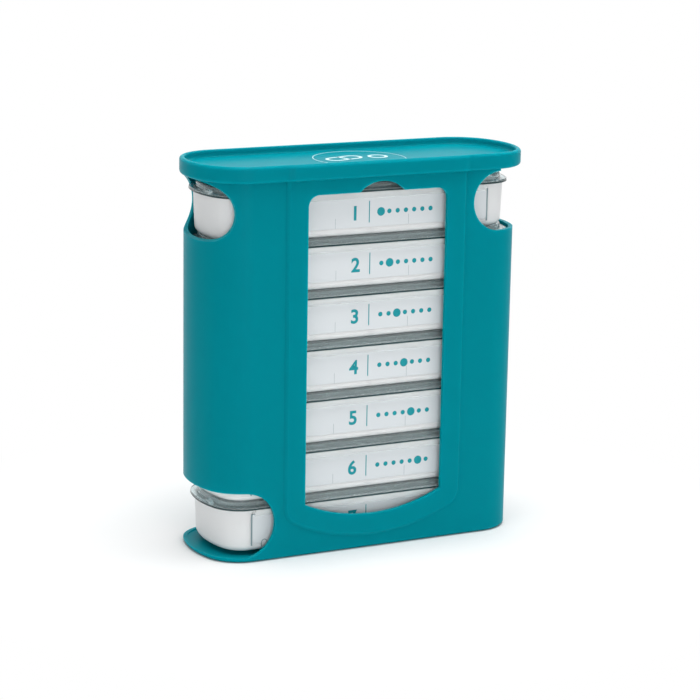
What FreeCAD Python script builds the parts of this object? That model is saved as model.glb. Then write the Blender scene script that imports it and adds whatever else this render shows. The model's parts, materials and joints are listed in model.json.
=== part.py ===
import FreeCAD, Part
import os
from math import asin, cos, pi, sin

import Sketcher

# Weekly pill drawer organizer: a tall moulded case with a clip-on cap holds seven day drawers in one
# stack. The lowest drawer is pulled out through the port at the lower left, and the highest slides in
# and out through the port at the upper right, pushed by a finger at the notch opposite.
#
# Every outline seen from above is the same flat-ended oval: two straight sides, and at each end one
# large arc that two smaller arcs join to the sides. A piece's outline is the case's own outline moved
# inwards by an inset, so every wall, clearance and flange is one number.
#
# X runs along the case, +X to the right of somebody facing the window. Y runs front to back and +Z
# is up. The origin is the centre of the case's footprint, on the surface that it stands on.

SIZES = [
    # case
    ("case_length", 120.0, "overall length of the case"),
    ("case_depth", 41.6, "depth of the case without the raised panel"),
    ("headroom", 2.7, "room between the highest lid and the case's rim"),
    ("end_radius", 38.0, "radius of the arc at each end of the case"),
    ("corner_radius", 13.8, "radius of the arcs that join the ends to the sides"),
    ("wall", 1.5, "thickness of the case wall"),
    ("floor_thickness", 1.2, "thickness of the case floor"),
    ("foot_bevel", 0.8, "bevel of the case's lower edge"),
    # raised front panel and window
    ("panel_width", 66.6, "width of the raised front panel"),
    ("panel_proud", 0.8, "how far the panel stands off the case"),
    ("panel_bottom", 5.5, "height of the lowest point of the panel"),
    ("panel_arc", 67.8, "radius of the panel's lower edge"),
    ("window_width", 53.0, "width of the window"),
    ("window_bottom", 12.3, "height of the window's lowest point"),
    ("window_drop", 5.2, "depth of the window's upper edge below the case's rim"),
    ("window_arc", 61.0, "radius of the window's lower edge"),
    ("window_corner", 4.0, "radius of the window's upper corners"),
    ("notch_radius", 12.1, "radius of the thumb notch over the window"),
    ("notch_drop", 1.6, "depth of the notch's highest point below the case's rim"),
    ("notch_shift", 1.2, "how far the notch stands to the right of the middle"),
    # ports at the ends of the case
    ("port_depth", 22.6, "how far each drawer port reaches in from its end"),
    ("lip_fit", 1.2, "how far the lip under the lower port stays below the lowest drawer"),
    ("lower_port_room", 3.8, "room between the lowest drawer's lid and its port"),
    ("upper_port_sill", 1.2, "how far the upper port reaches below the highest drawer"),
    ("upper_port_shoulder", 0.9, "depth of the upper port's round end below the case's rim"),
    ("push_radius", 10.5, "radius of the finger notch at the upper left"),
    ("push_drop", 10.8, "depth of the finger notch's centre below the case's rim"),
    ("push_outset", 2.4, "how far that centre lies outside the end of the case"),
    # runners on the floor
    ("runner_height", 2.7, "height of the runners that carry the lowest drawer"),
    ("runner_width", 4.0, "width of a runner"),
    ("runner_length", 92.0, "length of a runner"),
    ("runner_spacing", 18.0, "distance between the two runners"),
    # cap
    ("cap_overhang", 2.5, "overhang of the cap at each end"),
    ("cap_front", 2.0, "overhang of the cap at the front"),
    ("cap_band", 5.7, "height of the cap's edge"),
    ("cap_end_radius", 30.0, "radius of the arc at each end of the cap"),
    ("cap_corner_radius", 16.5, "radius of the cap's corner arcs"),
    ("cap_rim", 1.8, "thickness of the rim round the cap's tray"),
    ("cap_tray", 2.7, "depth of the tray in the top of the cap"),
    ("cap_plate", 1.4, "thickness of the cap's plate"),
    ("cap_edge_bevel", 0.5, "bevel of the cap's outer edges"),
    ("tongue_length", 84.0, "length of the cap's locating tongues"),
    ("tongue_depth", 1.4, "how far the tongues reach into the case"),
    ("tongue_thickness", 1.0, "thickness of a tongue"),
    ("tongue_fit", 0.15, "clearance between a tongue and the case wall"),
    # drawers
    ("drawer_pitch", 18.0, "height of one closed drawer"),
    ("top_drawer_shift", -0.5, "where the highest drawer stands along the case"),
    ("low_drawer_shift", 0.3, "where the lowest drawer stands along the case"),
    ("cup_height", 15.0, "height of a cup"),
    ("cup_inset", 3.7, "inset of the cup from the case outline"),
    ("cup_wall", 1.0, "thickness of a cup's wall and floor"),
    ("flange_inset", 3.1, "inset of a flange's edge from the side of the case"),
    ("flange_height", 1.5, "height of a flange"),
    ("flange_length", 89.0, "length of the flange along each side of a cup"),
    ("compartments", 4.0, "number of compartments in a cup"),
    ("compartment_pitch", 28.0, "distance between two dividers"),
    ("divider_thickness", 1.0, "thickness of a divider"),
    ("divider_drop", 1.0, "how far a divider stays below the cup's rim"),
    ("divider_root", 0.2, "how deep a divider's edges run into the cup's walls and floor"),
    # lids
    ("lid_inset", 2.2, "inset of the lid's edge from the case outline"),
    ("lid_edge", 1.1, "thickness of the lid's edge"),
    ("lid_step_inset", 4.6, "inset of the lid's raised middle"),
    ("lid_skin", 1.0, "thickness of the lid's raised middle"),
    ("rail_length", 88.0, "length of the rails under the lid's long sides"),
    ("rail_set_back", 0.2, "how far a rail stands back from the lid's edge"),
    ("rail_fit", 0.2, "clearance between a rail and the cup's flange"),
    ("rail_hook", 0.5, "height of a rail's hook under the flange"),
    ("grip_length", 5.0, "length of the lid's grip"),
    ("grip_width", 1.4, "width of the lid's grip"),
    ("grip_height", 0.9, "height of the lid's grip"),
    ("grip_from_end", 1.6, "distance from the lid's end to the middle of its grip"),
    ("grip_to_front", 6.5, "how far the grip stands in front of the lid's middle"),
    # label plates
    ("label_width", 89.4, "width of a label plate"),
    ("label_bottom", 3.4, "height of a label plate's lower edge over the cup's bottom"),
    ("label_height", 9.0, "height of a label plate"),
    ("label_thickness", 0.4, "thickness of a label plate"),
    ("label_seat", 0.02, "thickness of the film that holds the plate on the cup"),
]

DAYS = range(1, 8)
SHEET = "Sizes"

# Heights that follow from the stack: the top of the runners carries it, and the rim is over it.
RIM = f"(runner_height + {len(DAYS)} * drawer_pitch + headroom)"
LIP = "(runner_height - lip_fit)"
LOWER_PORT_TOP = "(runner_height + drawer_pitch + lower_port_room)"
UPPER_PORT_BOTTOM = f"({RIM} - headroom - drawer_pitch - upper_port_sill)"

doc = FreeCAD.newDocument("PillDrawerOrganizer")
sheet = doc.addObject("Spreadsheet::Sheet", SHEET)
for row, (alias, value, note) in enumerate(SIZES, start=1):
    sheet.set(f"A{row}", note)
    sheet.set(f"B{row}", str(value))
    sheet.setAlias(f"B{row}", alias)
doc.recompute()


def bound(text):
    """An expression in which each driving dimension's alias points into the sheet."""
    words = []
    word = ""
    for mark in text + " ":
        if mark.isalnum() or mark == "_":
            word += mark
            continue
        words.append(f"{SHEET}.{word}" if word in ALIASES else word)
        words.append(mark)
        word = ""
    return "".join(words).strip()


def number(text):
    """The value of an expression of aliases and numbers."""
    value = sheet.evalExpression(bound(text))
    return float(getattr(value, "Value", value))


ALIASES = {alias for alias, _, _ in SIZES}


# ---------------------------------------------------------------------------------------- helpers

def new_body(label):
    body = doc.addObject("PartDesign::Body", label)
    body.Label = label
    return body


def origin_plane(body, role):
    for feature in body.Origin.OriginFeatures:
        if feature.Role == role:
            return feature
    raise ValueError(role)


def new_sketch(body, name, role="XY_Plane", offset="0"):
    """A sketch on one of the body's own origin planes, moved along the plane's normal."""
    sketch = body.newObject("Sketcher::SketchObject", name)
    sketch.AttachmentSupport = [(origin_plane(body, role), "")]
    sketch.MapMode = "FlatFace"
    sketch.setExpression("AttachmentOffset.Base.z", bound(offset))
    return sketch


def rule(sketch, name, expression, kind, *arguments):
    """Adds one named dimension to a sketch and ties it to the sheet."""
    index = sketch.addConstraint(Sketcher.Constraint(kind, *arguments, number(expression)))
    sketch.renameConstraint(index, name)
    sketch.setExpression(f"Constraints.{name}", bound(expression))


def vector(x, y):
    return FreeCAD.Vector(x, y, 0)


def arc(cx, cy, radius, start, end):
    circle = Part.Circle(vector(cx, cy), FreeCAD.Vector(0, 0, 1), radius)
    return Part.ArcOfCircle(circle, start, end)


def close_loop(sketch, ids, smooth):
    """Joins each element's end to the next one's start, tangent where smooth says so."""
    for index, current in enumerate(ids):
        following = ids[(index + 1) % len(ids)]
        kind = "Tangent" if smooth[index] else "Coincident"
        sketch.addConstraint(Sketcher.Constraint(kind, current, 2, following, 1))


def oval(sketch, inset="0", length="case_length", front="case_depth / 2", back="case_depth / 2",
         end="end_radius", corner="corner_radius"):
    """The flat-ended oval: two straight sides, two end arcs and four corner arcs.

    The corner arc's centre lies where it is tangent to both the side and the end arc.
    """
    sag = number(inset)
    r_end = number(end) - sag
    r_corner = number(corner) - sag
    y_front = number(front) - sag
    y_back = number(back) - sag
    middle = (y_back - y_front) / 2
    cx = number(length) / 2 - number(end)
    rise = (y_back + y_front) / 2 - r_corner
    turn = asin(rise / (r_end - r_corner))
    x = cx + (r_end - r_corner) * cos(turn)
    shapes = [
        Part.LineSegment(vector(-x, -y_front), vector(x, -y_front)),
        arc(x, middle - rise, r_corner, -pi / 2, -turn),
        arc(cx, middle, r_end, -turn, turn),
        arc(x, middle + rise, r_corner, turn, pi / 2),
        Part.LineSegment(vector(x, y_back), vector(-x, y_back)),
        arc(-x, middle + rise, r_corner, pi / 2, pi - turn),
        arc(-cx, middle, r_end, pi - turn, pi + turn),
        arc(-x, middle - rise, r_corner, pi + turn, 3 * pi / 2),
    ]
    ids = list(sketch.addGeometry(shapes, False))
    close_loop(sketch, ids, [True] * len(ids))
    sketch.addConstraint(Sketcher.Constraint("Horizontal", ids[0]))
    sketch.addConstraint(Sketcher.Constraint("Horizontal", ids[4]))
    rule(sketch, "front", f"{front} - ({inset})", "DistanceY", ids[0], 1, -1, 1)
    rule(sketch, "back", f"{back} - ({inset})", "DistanceY", -1, 1, ids[4], 1)
    for name, index in (("right", ids[2]), ("left", ids[6])):
        rule(sketch, f"{name}_end", f"{end} - ({inset})", "Radius", index)
        rule(sketch, f"{name}_level", f"(({back}) - ({front})) / 2", "DistanceY", -1, 1, index, 3)
    reach = f"({length}) / 2 - ({end})"
    rule(sketch, "right_centre", reach, "DistanceX", -1, 1, ids[2], 3)
    rule(sketch, "left_centre", reach, "DistanceX", ids[6], 3, -1, 1)
    rule(sketch, "corner", f"{corner} - ({inset})", "Radius", ids[1])
    for index in (ids[3], ids[5], ids[7]):
        sketch.addConstraint(Sketcher.Constraint("Equal", ids[1], index))


def rectangle(sketch, left, right, bottom, top):
    """A rectangle whose four sides are given as expressions measured from the origin."""
    x0, x1, y0, y1 = number(left), number(right), number(bottom), number(top)
    corners = [vector(x0, y0), vector(x1, y0), vector(x1, y1), vector(x0, y1)]
    lines = [Part.LineSegment(corners[i], corners[(i + 1) % 4]) for i in range(4)]
    ids = list(sketch.addGeometry(lines, False))
    close_loop(sketch, ids, [False] * 4)
    for index, kind in zip(ids, ("Horizontal", "Vertical", "Horizontal", "Vertical")):
        sketch.addConstraint(Sketcher.Constraint(kind, index))
    rule(sketch, f"left{ids[0]}", left, "DistanceX", -1, 1, ids[0], 1)
    rule(sketch, f"right{ids[0]}", right, "DistanceX", -1, 1, ids[1], 1)
    rule(sketch, f"bottom{ids[0]}", bottom, "DistanceY", -1, 1, ids[0], 1)
    rule(sketch, f"top{ids[0]}", top, "DistanceY", -1, 1, ids[2], 1)


def round_hole(sketch, across, up, radius):
    """A full circle."""
    centre = vector(number(across), number(up))
    circle = Part.Circle(centre, FreeCAD.Vector(0, 0, 1), number(radius))
    index = sketch.addGeometry(circle, False)
    rule(sketch, "radius", radius, "Radius", index)
    rule(sketch, "across", across, "DistanceX", -1, 1, index, 3)
    rule(sketch, "up", up, "DistanceY", -1, 1, index, 3)


def pad(body, name, sketch, length, reverse=False):
    item = body.newObject("PartDesign::Pad", name)
    item.Profile = sketch
    item.Reversed = reverse
    item.setExpression("Length", bound(length))
    doc.recompute()
    return item


def cut(body, name, sketch, length, reverse=False):
    """A pocket that has to take something away."""
    before = body.Shape.Volume
    item = body.newObject("PartDesign::Pocket", name)
    item.Profile = sketch
    item.Reversed = reverse
    item.setExpression("Length", bound(length))
    doc.recompute()
    if body.Shape.Volume > before - 0.1:
        raise RuntimeError(f"{name} cuts nothing from {body.Label}")
    return item


def edges_at(shape, height, tolerance=1e-4):
    """Names of the edges that lie wholly at one height of the body."""
    names = []
    for index, edge in enumerate(shape.Edges, start=1):
        box = edge.BoundBox
        level = abs(box.ZMin - height) < tolerance and abs(box.ZMax - height) < tolerance
        if level:
            names.append(f"Edge{index}")
    return names


def bevel_edges(body, name, base, edges, width):
    item = body.newObject("PartDesign::Chamfer", name)
    item.Base = (base, edges)
    item.setExpression("Size", bound(width))
    doc.recompute()
    return item


# ------------------------------------------------------------------------------------------- case

def arched_outline(sketch, width, bottom, arch, top, corner=None):
    """An upright outline whose lower edge is an arc that sags to its lowest point in the middle."""
    half = number(width) / 2
    radius = number(arch)
    centre = number(bottom) + radius
    turn = asin(half / radius)
    low = centre - radius * cos(turn)
    high = number(top)
    shapes = [arc(0, centre, radius, -pi / 2 - turn, -pi / 2 + turn)]
    if corner:
        bend = number(corner)
        shapes += [
            Part.LineSegment(vector(half, low), vector(half, high - bend)),
            arc(half - bend, high - bend, bend, 0, pi / 2),
            Part.LineSegment(vector(half - bend, high), vector(bend - half, high)),
            arc(bend - half, high - bend, bend, pi / 2, pi),
            Part.LineSegment(vector(-half, high - bend), vector(-half, low)),
        ]
        smooth = [False, True, True, True, True, False]
        right, upper, left = 1, 3, 5
    else:
        shapes += [
            Part.LineSegment(vector(half, low), vector(half, high)),
            Part.LineSegment(vector(half, high), vector(-half, high)),
            Part.LineSegment(vector(-half, high), vector(-half, low)),
        ]
        smooth = [False] * 4
        right, upper, left = 1, 2, 3
    ids = list(sketch.addGeometry(shapes, False))
    close_loop(sketch, ids, smooth)
    sketch.addConstraint(Sketcher.Constraint("Vertical", ids[right]))
    sketch.addConstraint(Sketcher.Constraint("Horizontal", ids[upper]))
    sketch.addConstraint(Sketcher.Constraint("Vertical", ids[left]))
    rule(sketch, "right", f"({width}) / 2", "DistanceX", -1, 1, ids[right], 1)
    rule(sketch, "left", f"({width}) / 2", "DistanceX", ids[left], 2, -1, 1)
    rule(sketch, "top", top, "DistanceY", -1, 1, ids[upper], 1)
    rule(sketch, "arch", arch, "Radius", ids[0])
    rule(sketch, "centre_up", f"{bottom} + {arch}", "DistanceY", -1, 1, ids[0], 3)
    sketch.addConstraint(Sketcher.Constraint("PointOnObject", ids[0], 3, -2))
    if corner:
        rule(sketch, "corner", corner, "Radius", ids[2])
        sketch.addConstraint(Sketcher.Constraint("Equal", ids[2], ids[4]))


def port_outline(sketch, side, bottom, round_top, top):
    """A drawer port seen from the front: a half circle at its inner end, open at the case's end."""
    low, ring, high = number(bottom), number(round_top), number(top)
    radius = (ring - low) / 2
    reach = number("case_length / 2 - port_depth") + radius
    out = number("case_length / 2 + cap_overhang")
    points = [(out, high), (out, low), (reach, low)]
    walls = [Part.LineSegment(vector(side * ax, ay), vector(side * bx, by))
             for (ax, ay), (bx, by) in zip(points, points[1:])]
    if side > 0:
        bend = arc(reach, low + radius, radius, pi / 2, 3 * pi / 2)
        first, last = 2, 1
    else:
        bend = arc(-reach, low + radius, radius, -pi / 2, pi / 2)
        first, last = 1, 2
    shapes = walls + [bend]
    if high > ring:
        shapes.append(Part.LineSegment(vector(side * reach, ring), vector(side * reach, high)))
    shapes.append(Part.LineSegment(vector(side * reach, high), vector(side * out, high)))
    ids = list(sketch.addGeometry(shapes, False))

    def join(one, one_end, two, two_end, kind="Coincident"):
        sketch.addConstraint(Sketcher.Constraint(kind, one, one_end, two, two_end))

    join(ids[0], 2, ids[1], 1)
    join(ids[1], 2, ids[2], first, "Tangent")
    if high > ring:
        join(ids[2], last, ids[3], 1)
        sketch.addConstraint(Sketcher.Constraint("Vertical", ids[3]))
        join(ids[3], 2, ids[4], 1)
        rule(sketch, "ring", round_top, "DistanceY", -1, 1, ids[3], 1)
        sketch.addConstraint(Sketcher.Constraint("Vertical", ids[2], first, ids[2], last))
    else:
        join(ids[2], last, ids[3], 1, "Tangent")
    join(ids[-1], 2, ids[0], 1)
    sketch.addConstraint(Sketcher.Constraint("Vertical", ids[0]))
    sketch.addConstraint(Sketcher.Constraint("Horizontal", ids[1]))
    sketch.addConstraint(Sketcher.Constraint("Horizontal", ids[-1]))
    rule(sketch, "low", bottom, "DistanceY", -1, 1, ids[1], 1)
    rule(sketch, "high", top, "DistanceY", -1, 1, ids[-1], 2)
    centre = f"case_length / 2 - port_depth + ({round_top} - {bottom}) / 2"
    span = "case_length / 2 + cap_overhang"
    if side > 0:
        rule(sketch, "reach", centre, "DistanceX", -1, 1, ids[2], 3)
        rule(sketch, "out", span, "DistanceX", -1, 1, ids[0], 1)
    else:
        rule(sketch, "reach", centre, "DistanceX", ids[2], 3, -1, 1)
        rule(sketch, "out", span, "DistanceX", ids[0], 1, -1, 1)


def make_case():
    """The case: one open-topped moulding with its floor, its window and its ports."""
    body = new_body("case_shell")
    plan = new_sketch(body, "CasePlan")
    oval(plan)
    pad(body, "CaseBlock", plan, RIM)

    panel = new_sketch(body, "PanelOutline", "XZ_Plane", "case_depth / 2 - wall / 2")
    arched_outline(panel, "panel_width", "panel_bottom", "panel_arc", RIM)
    pad(body, "Panel", panel, "wall / 2 + panel_proud")

    inside = new_sketch(body, "CaseInside", offset=RIM)
    oval(inside, "wall")
    cavity = cut(body, "Cavity", inside, f"{RIM} - floor_thickness")
    bevel_edges(body, "Foot", cavity, edges_at(body.Shape, 0.0), "foot_bevel")

    window = new_sketch(body, "WindowOutline", "XZ_Plane", "case_depth / 2 + panel_proud")
    arched_outline(window, "window_width", "window_bottom", "window_arc", f"{RIM} - window_drop",
                   "window_corner")
    cut(body, "Window", window, "panel_proud + 2 * wall")

    relief = new_sketch(body, "PanelRelief", "XZ_Plane", "case_depth / 2 + panel_proud - wall")
    arched_outline(relief, "panel_width - 2 * wall", "panel_bottom + wall", "panel_arc",
                   f"{RIM} + wall")
    cut(body, "Relief", relief, "panel_proud + wall")

    notch = new_sketch(body, "NotchOutline", "XZ_Plane", "case_depth / 2 + panel_proud")
    round_hole(notch, "notch_shift", f"{RIM} - notch_drop - notch_radius", "notch_radius")
    cut(body, "Notch", notch, "panel_proud + 2 * wall")

    lower = new_sketch(body, "LowerPortOutline", "XZ_Plane", "case_depth")
    port_outline(lower, -1, LIP, LOWER_PORT_TOP, LOWER_PORT_TOP)
    cut(body, "LowerPort", lower, "2 * case_depth")

    upper = new_sketch(body, "UpperPortOutline", "XZ_Plane", "case_depth")
    port_outline(upper, 1, UPPER_PORT_BOTTOM, f"{RIM} - upper_port_shoulder", f"{RIM} + wall")
    cut(body, "UpperPort", upper, "2 * case_depth")

    push = new_sketch(body, "PushOutline", "XZ_Plane", "case_depth")
    round_hole(push, "-(case_length / 2 + push_outset)", f"{RIM} - push_drop", "push_radius")
    cut(body, "PushNotch", push, "2 * case_depth")

    rails = new_sketch(body, "RunnerPlan", offset="floor_thickness")
    for side in ("-", ""):
        centre = f"{side}runner_spacing / 2"
        rectangle(rails, "-runner_length / 2", "runner_length / 2",
                  f"{centre} - runner_width / 2", f"{centre} + runner_width / 2")
    pad(body, "Runners", rails, "runner_height - floor_thickness")
    return body


def make_cap():
    """The cap: an overhanging tray that stands on the case's rim, held by two tongues inside it."""
    body = new_body("cap")
    edge = dict(length="case_length + 2 * cap_overhang", front="case_depth / 2 + cap_front",
                end="cap_end_radius", corner="cap_corner_radius")
    plan = new_sketch(body, "CapPlan", offset=RIM)
    oval(plan, **edge)
    pad(body, "CapBlock", plan, "cap_band")

    step = new_sketch(body, "CapStep", offset=RIM)
    rectangle(step, "-panel_width / 2", "panel_width / 2",
              "-(case_depth / 2 + cap_front + panel_proud)", "-case_depth / 2")
    block = pad(body, "CapFront", step, "cap_band")
    rims = edges_at(body.Shape, number(f"{RIM} + cap_band"))
    rims += edges_at(body.Shape, number(RIM))
    bevel_edges(body, "CapEdges", block, rims, "cap_edge_bevel")

    tray = new_sketch(body, "TrayPlan", offset=f"{RIM} + cap_band")
    oval(tray, "cap_rim", **edge)
    cut(body, "Tray", tray, "cap_tray")

    hollow = new_sketch(body, "HollowPlan", offset=RIM)
    oval(hollow, "wall")
    cut(body, "Hollow", hollow, "cap_band - cap_tray - cap_plate", reverse=True)

    tongues = new_sketch(body, "TonguePlan", offset=f"{RIM} - tongue_depth")
    outer = "case_depth / 2 - wall - tongue_fit"
    inner = f"{outer} - tongue_thickness"
    rectangle(tongues, "-tongue_length / 2", "tongue_length / 2", f"-({outer})", f"-({inner})")
    rectangle(tongues, "-tongue_length / 2", "tongue_length / 2", inner, outer)
    pad(body, "Tongues", tongues, "tongue_depth + cap_band - cap_tray - cap_plate")
    return body


# ---------------------------------------------------------------------------------------- drawers

def place_drawer_piece(body, day, height):
    """Puts a piece of one day's drawer at its own level of the stack."""
    level = f"runner_height + {len(DAYS) - day} * drawer_pitch + {height}"
    body.setExpression("Placement.Base.z", bound(level))
    if day == 1:
        body.setExpression("Placement.Base.x", bound("top_drawer_shift"))
    if day == len(DAYS):
        body.setExpression("Placement.Base.x", bound("low_drawer_shift"))


def make_cup(day):
    """One cup: upright walls, fixed dividers and a flange along each side that carries the lid."""
    body = new_body(f"day{day}_cup")
    plan = new_sketch(body, "CupPlan")
    oval(plan, "cup_inset")
    pad(body, "CupBlock", plan, "cup_height")

    flanges = new_sketch(body, "FlangePlan", offset="cup_height - flange_height")
    outer = "case_depth / 2 - flange_inset"
    inner = "case_depth / 2 - cup_inset - cup_wall / 2"
    rectangle(flanges, "-flange_length / 2", "flange_length / 2", inner, outer)
    rectangle(flanges, "-flange_length / 2", "flange_length / 2", f"-({outer})", f"-({inner})")
    pad(body, "Flanges", flanges, "flange_height")

    inside = new_sketch(body, "InsidePlan", offset="cup_height")
    oval(inside, "cup_inset + cup_wall")
    cut(body, "Inside", inside, "cup_height - cup_wall")

    first = "-(compartments - 2) / 2 * compartment_pitch"
    wall = new_sketch(body, "DividerOutline", "YZ_Plane", f"{first} - divider_thickness / 2")
    half = "case_depth / 2 - cup_inset - cup_wall + divider_root"
    rectangle(wall, f"-({half})", half, "cup_wall - divider_root", "cup_height - divider_drop")
    divider = pad(body, "Divider", wall, "divider_thickness")
    row = body.newObject("PartDesign::LinearPattern", "Dividers")
    row.Originals = [divider]
    row.Direction = (origin_plane(body, "X_Axis"), [""])
    row.setExpression("Length", bound("(compartments - 2) * compartment_pitch"))
    row.setExpression("Occurrences", bound("compartments - 1"))
    body.Tip = row
    doc.recompute()
    place_drawer_piece(body, day, "0")
    return body


def make_lid(day):
    """One lid: a flat edge, a raised middle that carries the next drawer, and rails at its sides.

    The rails hook under the cup's flanges, so the lid slides along the cup and can't lift off it.
    """
    body = new_body(f"day{day}_lid")
    plan = new_sketch(body, "LidPlan")
    oval(plan, "lid_inset")
    pad(body, "LidEdge", plan, "lid_edge")

    middle = new_sketch(body, "LidStep", offset="lid_edge / 2")
    oval(middle, "lid_step_inset")
    pad(body, "LidMiddle", middle, "drawer_pitch - cup_height - lid_edge / 2")

    under = new_sketch(body, "LidUnder")
    oval(under, "lid_step_inset + lid_skin")
    cut(body, "LidHollow", under, "drawer_pitch - cup_height - lid_skin", reverse=True)

    outer = "case_depth / 2 - lid_inset - rail_set_back"
    inner = "case_depth / 2 - flange_inset + rail_fit"
    hook = "case_depth / 2 - cup_inset + rail_fit"
    webs = new_sketch(body, "RailPlan")
    rectangle(webs, "-rail_length / 2", "rail_length / 2", inner, outer)
    rectangle(webs, "-rail_length / 2", "rail_length / 2", f"-({outer})", f"-({inner})")
    pad(body, "Rails", webs, "flange_height + rail_fit + rail_hook", reverse=True)
    hooks = new_sketch(body, "HookPlan", offset="-(flange_height + rail_fit)")
    rectangle(hooks, "-rail_length / 2", "rail_length / 2", hook, outer)
    rectangle(hooks, "-rail_length / 2", "rail_length / 2", f"-({outer})", f"-({hook})")
    pad(body, "Hooks", hooks, "rail_hook", reverse=True)

    grip = new_sketch(body, "GripPlan", offset="lid_edge / 2")
    end = "-(case_length / 2 - lid_inset - grip_from_end)"
    rectangle(grip, f"{end} - grip_width / 2", f"{end} + grip_width / 2",
              "-grip_to_front - grip_length / 2", "-grip_to_front + grip_length / 2")
    pad(body, "Grip", grip, "lid_edge / 2 + grip_height")
    place_drawer_piece(body, day, "cup_height")
    return body


def make_label(day):
    """One blank label plate, stuck flat on the front of its cup."""
    body = new_body(f"day{day}_label")
    outline = new_sketch(body, "LabelOutline", "XZ_Plane", "label_seat")
    rectangle(outline, "-label_width / 2", "label_width / 2", "0", "label_height")
    pad(body, "LabelPlate", outline, "label_thickness")
    place_drawer_piece(body, day, "label_bottom")
    body.setExpression("Placement.Base.y", bound("-(case_depth / 2 - cup_inset)"))
    return body


# ------------------------------------------------------------------------------------ the product

pieces = [make_case(), make_cap()]
for day in DAYS:
    pieces += [make_cup(day), make_lid(day), make_label(day)]
doc.recompute()

for item in doc.Objects:
    if "Invalid" in item.State or "Error" in item.State:
        raise RuntimeError(f"{item.Name} ({item.Label}) failed: {item.State}")
for piece in pieces:
    if piece.Shape.isNull() or not piece.Shape.isValid() or len(piece.Shape.Solids) != 1:
        raise RuntimeError(f"{piece.Label} has no single valid solid")

os.makedirs("parts", exist_ok=True)
for piece in pieces:
    piece.Shape.exportStep(os.path.join("parts", f"{piece.Label}.step"))
    box = piece.Shape.BoundBox
    print(f"{piece.Label}: volume {piece.Shape.Volume:.1f} mm3, "
          f"X {box.XMin:.2f} to {box.XMax:.2f}, Y {box.YMin:.2f} to {box.YMax:.2f}, "
          f"Z {box.ZMin:.2f} to {box.ZMax:.2f}")
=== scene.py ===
import json
from math import asin, cos, pi, radians, sin, tan

import bmesh
import bpy
import numpy as np
from bpy.props import FloatProperty, IntProperty, PointerProperty, StringProperty
from mathutils import Matrix, Vector


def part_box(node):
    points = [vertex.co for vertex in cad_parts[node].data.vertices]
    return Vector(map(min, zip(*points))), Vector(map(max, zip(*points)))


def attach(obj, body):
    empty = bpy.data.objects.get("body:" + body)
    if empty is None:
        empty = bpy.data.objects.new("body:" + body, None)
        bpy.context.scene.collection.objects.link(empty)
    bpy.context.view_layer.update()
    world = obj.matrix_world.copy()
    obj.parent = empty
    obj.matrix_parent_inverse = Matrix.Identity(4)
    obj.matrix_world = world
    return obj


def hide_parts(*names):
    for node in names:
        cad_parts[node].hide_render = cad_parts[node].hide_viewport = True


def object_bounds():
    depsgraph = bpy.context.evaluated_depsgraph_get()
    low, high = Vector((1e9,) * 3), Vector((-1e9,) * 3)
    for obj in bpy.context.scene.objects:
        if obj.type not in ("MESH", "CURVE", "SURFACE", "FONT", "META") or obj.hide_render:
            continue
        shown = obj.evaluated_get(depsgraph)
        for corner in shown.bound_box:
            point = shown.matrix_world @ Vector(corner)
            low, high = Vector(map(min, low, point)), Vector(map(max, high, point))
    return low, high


bl_info = {
    "name": "Pill Drawer Organizer",
    "version": (1, 0, 0),
    "blender": (4, 5, 0),
    "location": "3D View > Sidebar > Organizer",
    "description": "Dresses a weekly pill drawer organizer in moulded plastic",
    "category": "Object",
}

# Everything is in metres, in the frame of the packed model: +X to the right of somebody who faces
# the window, +Z up, and the window at -Y. Every moulding but the case is a profile of insets and
# heights carried round a flat-ended oval: the case's, or the cap's own.

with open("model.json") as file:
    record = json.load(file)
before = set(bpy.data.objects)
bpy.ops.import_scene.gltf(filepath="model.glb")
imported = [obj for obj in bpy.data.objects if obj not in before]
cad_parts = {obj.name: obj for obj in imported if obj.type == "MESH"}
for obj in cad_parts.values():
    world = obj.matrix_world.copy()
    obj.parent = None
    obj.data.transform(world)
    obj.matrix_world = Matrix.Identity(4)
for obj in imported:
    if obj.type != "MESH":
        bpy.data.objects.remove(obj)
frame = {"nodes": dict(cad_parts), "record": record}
CAD_LOW, CAD_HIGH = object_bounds()
CASE_LOW, CASE_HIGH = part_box("case_shell")
CAP_LOW, CAP_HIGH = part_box("cap")
DAYS = range(1, 8)
HALF_LENGTH = CASE_HIGH.x
HALF_DEPTH = CASE_HIGH.y
PANEL_PROUD = -CASE_LOW.y - CASE_HIGH.y
BODY_OF = {node: body for body, nodes in frame["record"]["behaviour"]["bodies"].items()
           for node in nodes}
MM = 0.001
SHIM = 0.02 * MM  # keeps two surfaces from lying in one plane


# ------------------------------------------------------------------------------- sizes and colours

def length(default, name, description):
    """A length in metres that a user can set."""
    return FloatProperty(name=name, description=description, default=default, min=0.0, precision=4,
                         subtype="DISTANCE", unit="LENGTH")


def shade(default, name, description):
    """A colour that a user can set, as an sRGB hex code."""
    return StringProperty(name=name, description=description, default=default, maxlen=7)


class OrganizerOutline(bpy.types.PropertyGroup):
    """The flat-ended ovals of the case and its cap."""
    end_radius: length(38 * MM, "End radius", "Radius of the arc at each end of the case")
    corner_radius: length(13.8 * MM, "Corner radius",
                          "Radius of the arcs between the ends and the sides")
    cap_end_radius: length(30 * MM, "Cap end radius", "Radius of the arc at each end of the cap")
    cap_corner_radius: length(16.5 * MM, "Cap corner radius", "Radius of the cap's corner arcs")
    end_steps: IntProperty(name="End steps", description="Facets on each end arc",
                           default=28, min=4)
    corner_steps: IntProperty(name="Corner steps", description="Facets on each corner arc",
                              default=18, min=4)


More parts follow.
